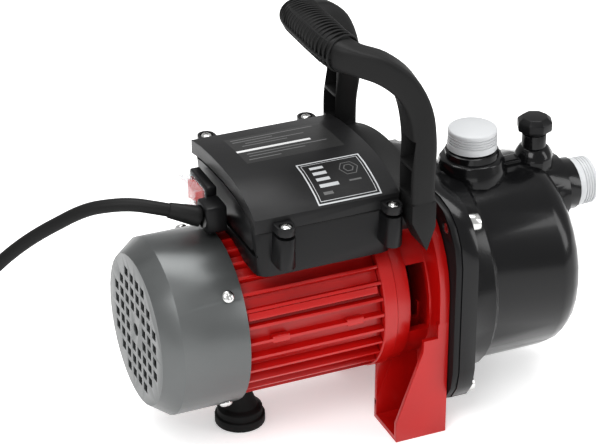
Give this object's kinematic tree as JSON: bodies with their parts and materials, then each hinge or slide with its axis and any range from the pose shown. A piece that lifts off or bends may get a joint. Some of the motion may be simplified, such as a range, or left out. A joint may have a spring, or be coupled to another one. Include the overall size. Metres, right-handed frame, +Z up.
{
  "type": "shallow well jet pump",
  "caption": "Portable self-priming jet pump with a finned electric motor, carrying handle, terminal box with switch, and supply cord.",
  "frame": {"origin": "under the middle of the pump's length, on the floor below the shaft's axis, cord left out", "axes": "+X from the fan cover to the suction port along the shaft, +Z up, +Y to the side away from the noise label"},
  "size_m": [0.6595, 0.1713, 0.309],
  "materials": {
    "red_paint": "gloss red enamel on die-cast aluminium",
    "grey_metal": "satin metallic grey enamel",
    "black_plastic": "glossy black moulding",
    "handle_plastic": "matt black moulding",
    "cap_plastic": "milky light grey moulding",
    "steel": "bright steel",
    "iron": "laminated iron",
    "copper": "varnished copper wire",
    "brass": "machined brass",
    "rubber": "black rubber",
    "ceramic": "white ceramic",
    "switch_red": "translucent red moulding",
    "clear_plastic": "clear flexible moulding",
    "white_plastic": "off-white moulding"
  },
  "bodies": {
    "body": {"fan_cover": "grey_metal", "rear_end_shield": "red_paint", "fan_cover_screw_1": "steel", "fan_cover_screw_2": "steel", "fan_cover_screw_3": "steel", "fan_cover_screw_4": "steel", "motor_housing": "red_paint", "stator_core": "iron", "stator_winding_rear": "copper", "stator_winding_front": "copper", "rear_bearing": "steel", "front_bearing": "steel", "front_bracket": "red_paint", "rear_foot": "rubber", "rear_foot_screw": "steel", "pump_housing": "black_plastic", "housing_bolt_1": "steel", "housing_bolt_2": "steel", "housing_bolt_3": "steel", "housing_bolt_4": "steel", "seal_plate": "black_plastic", "seal_seat": "ceramic", "housing_oring": "rubber", "diffuser": "black_plastic", "venturi_tube": "white_plastic", "jet_nozzle": "brass", "handle": "handle_plastic", "handle_screw_1": "steel", "handle_screw_2": "steel", "terminal_box_base": "black_plastic", "terminal_box_cover": "black_plastic", "terminal_box_gasket": "rubber", "terminal_box_screw_1": "steel", "terminal_box_screw_2": "steel", "terminal_box_screw_3": "steel", "terminal_box_screw_4": "steel", "capacitor": "white_plastic", "terminal_block": "white_plastic", "switch_frame": "black_plastic", "switch_cover": "clear_plastic", "cable_gland": "black_plastic", "strain_relief": "rubber", "power_cord": "rubber", "cord_coil": "rubber", "mains_plug": "rubber"},
    "rotor": {"shaft": "steel", "rotor_core": "iron", "cooling_fan": "black_plastic", "water_slinger": "rubber", "seal_head": "rubber", "impeller": "brass", "impeller_nut": "brass"},
    "switch_rocker": {"switch_rocker": "switch_red"},
    "filler_plug": {"filler_plug": "black_plastic", "filler_oring": "rubber"},
    "drain_plug": {"drain_plug": "black_plastic", "drain_oring": "rubber"},
    "discharge_cap": {"discharge_cap": "cap_plastic"},
    "suction_cap": {"suction_cap": "cap_plastic"}
  },
  "joints": [
    {"name": "rotor_spin", "type": "hinge", "parent": "body", "child": "rotor", "pos_m": [0, 0, 0.0945], "axis": [1, 0, 0], "continuous": true},
    {"name": "rocker_tilt", "type": "hinge", "parent": "body", "child": "switch_rocker", "pos_m": [-0.1145, 0.026, 0.1765], "axis": [0, 0, 1], "range_deg": [-8, 0]},
    {"name": "filler_lift", "type": "slide", "parent": "body", "child": "filler_plug", "axis": [0, 0, 1], "range_m": [0, 0.04]},
    {"name": "drain_pull", "type": "slide", "parent": "body", "child": "drain_plug", "axis": [1, 0, 0], "range_m": [0, 0.04]},
    {"name": "discharge_cap_lift", "type": "slide", "parent": "body", "child": "discharge_cap", "axis": [0, 0, 1], "range_m": [0, 0.05]},
    {"name": "suction_cap_pull", "type": "slide", "parent": "body", "child": "suction_cap", "axis": [1, 0, 0], "range_m": [0, 0.05]}
  ]
}
